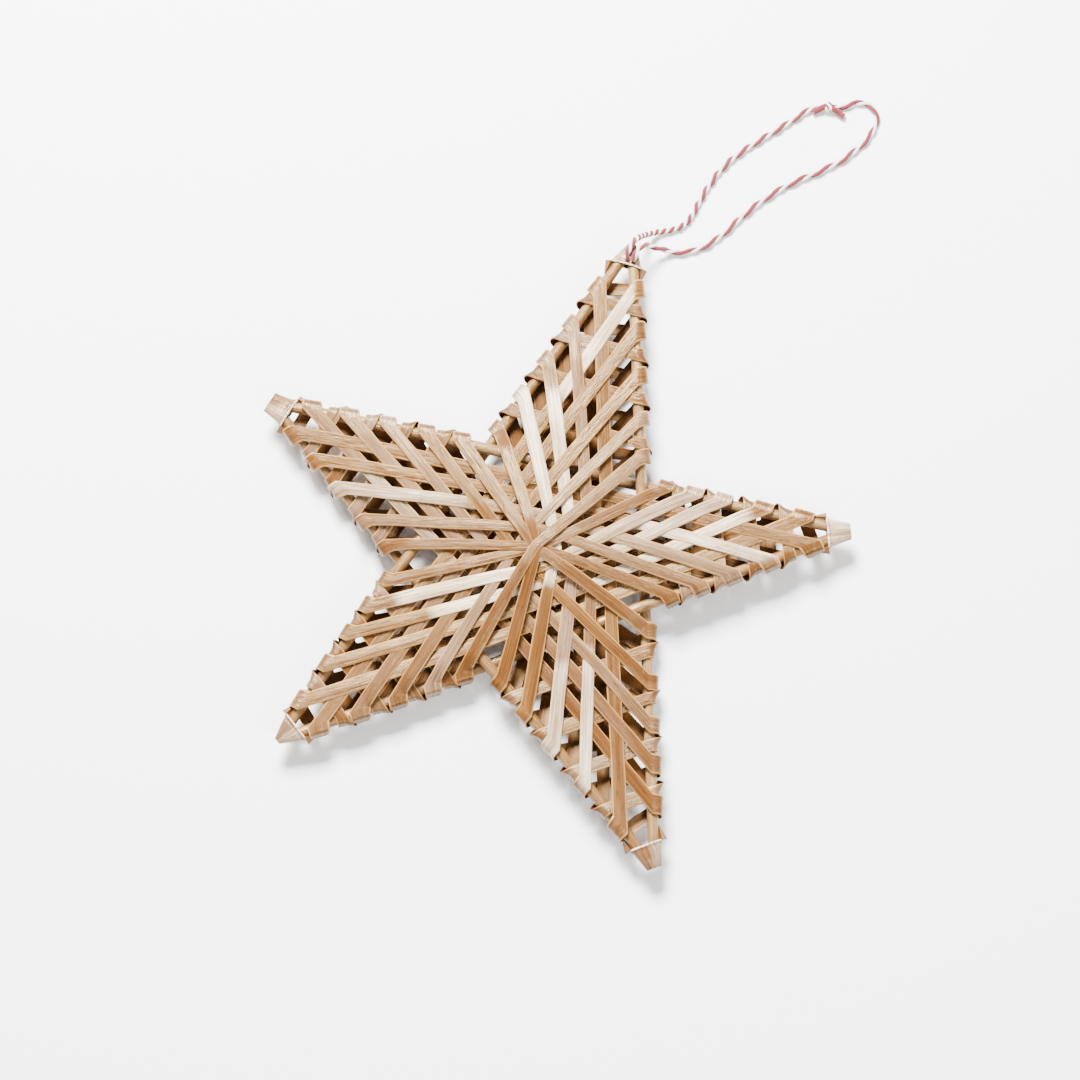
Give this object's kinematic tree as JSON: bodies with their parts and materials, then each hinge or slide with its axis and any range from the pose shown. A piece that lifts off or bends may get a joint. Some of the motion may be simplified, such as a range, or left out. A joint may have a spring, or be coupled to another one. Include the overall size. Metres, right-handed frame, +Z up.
{
  "type": "straw star ornament",
  "caption": "Wound straw star ornament: whole straws crossed as a star, wrapped with flattened straw strips on both sides, with a twine loop for hanging.",
  "frame": {"origin": "on the surface it lies on, under the middle of the star's box, without the cord", "axes": "+Z up through the front face, +Y towards the top point that carries the cord, +X to the right as seen from the front"},
  "size_m": [0.159, 0.2214, 0.0169],
  "materials": {
    "whole_straw": "glossy whole straw with fine lengthwise grain",
    "straw_strip": "satin flattened straw, pale to honey, with lengthwise grain and darker folds",
    "cap_straw": "folded straw with a straight pressed collar",
    "twine": "soft two-ply cotton twine, one ply red and one white"
  },
  "bodies": {
    "root": {"frame_straw_1": "whole_straw", "frame_straw_2": "whole_straw", "frame_straw_3": "whole_straw", "frame_straw_4": "whole_straw", "frame_straw_5": "whole_straw", "back_strip_1_top": "straw_strip", "back_strip_1_right": "straw_strip", "back_strip_1_lower_right": "straw_strip", "back_strip_1_lower_left": "straw_strip", "back_strip_1_left": "straw_strip", "back_strip_2_top": "straw_strip", "back_strip_2_right": "straw_strip", "back_strip_2_lower_right": "straw_strip", "back_strip_2_lower_left": "straw_strip", "back_strip_2_left": "straw_strip", "back_strip_3_top": "straw_strip", "back_strip_3_right": "straw_strip", "back_strip_3_lower_right": "straw_strip", "back_strip_3_lower_left": "straw_strip", "back_strip_3_left": "straw_strip", "back_strip_4_top": "straw_strip", "back_strip_4_right": "straw_strip", "back_strip_4_lower_right": "straw_strip", "back_strip_4_lower_left": "straw_strip", "back_strip_4_left": "straw_strip", "front_strip_1_top": "straw_strip", "front_strip_1_right": "straw_strip", "front_strip_1_lower_right": "straw_strip", "front_strip_1_lower_left": "straw_strip", "front_strip_1_left": "straw_strip", "front_strip_2_top": "straw_strip", "front_strip_2_right": "straw_strip", "front_strip_2_lower_right": "straw_strip", "front_strip_2_lower_left": "straw_strip", "front_strip_2_left": "straw_strip", "front_strip_3_top": "straw_strip", "front_strip_3_right": "straw_strip", "front_strip_3_lower_right": "straw_strip", "front_strip_3_lower_left": "straw_strip", "front_strip_3_left": "straw_strip", "front_strip_4_top": "straw_strip", "front_strip_4_right": "straw_strip", "front_strip_4_lower_right": "straw_strip", "front_strip_4_lower_left": "straw_strip", "front_strip_4_left": "straw_strip", "front_strip_5_top": "straw_strip", "front_strip_5_right": "straw_strip", "front_strip_5_lower_right": "straw_strip", "front_strip_5_lower_left": "straw_strip", "front_strip_5_left": "straw_strip", "tip_cap_top": "cap_straw", "tip_cap_right": "cap_straw", "tip_cap_lower_right": "cap_straw", "tip_cap_lower_left": "cap_straw", "tip_cap_left": "cap_straw", "cord_outward_strand": "twine", "cord_return_strand": "twine", "cord_knot": "twine"}
  },
  "joints": []
}
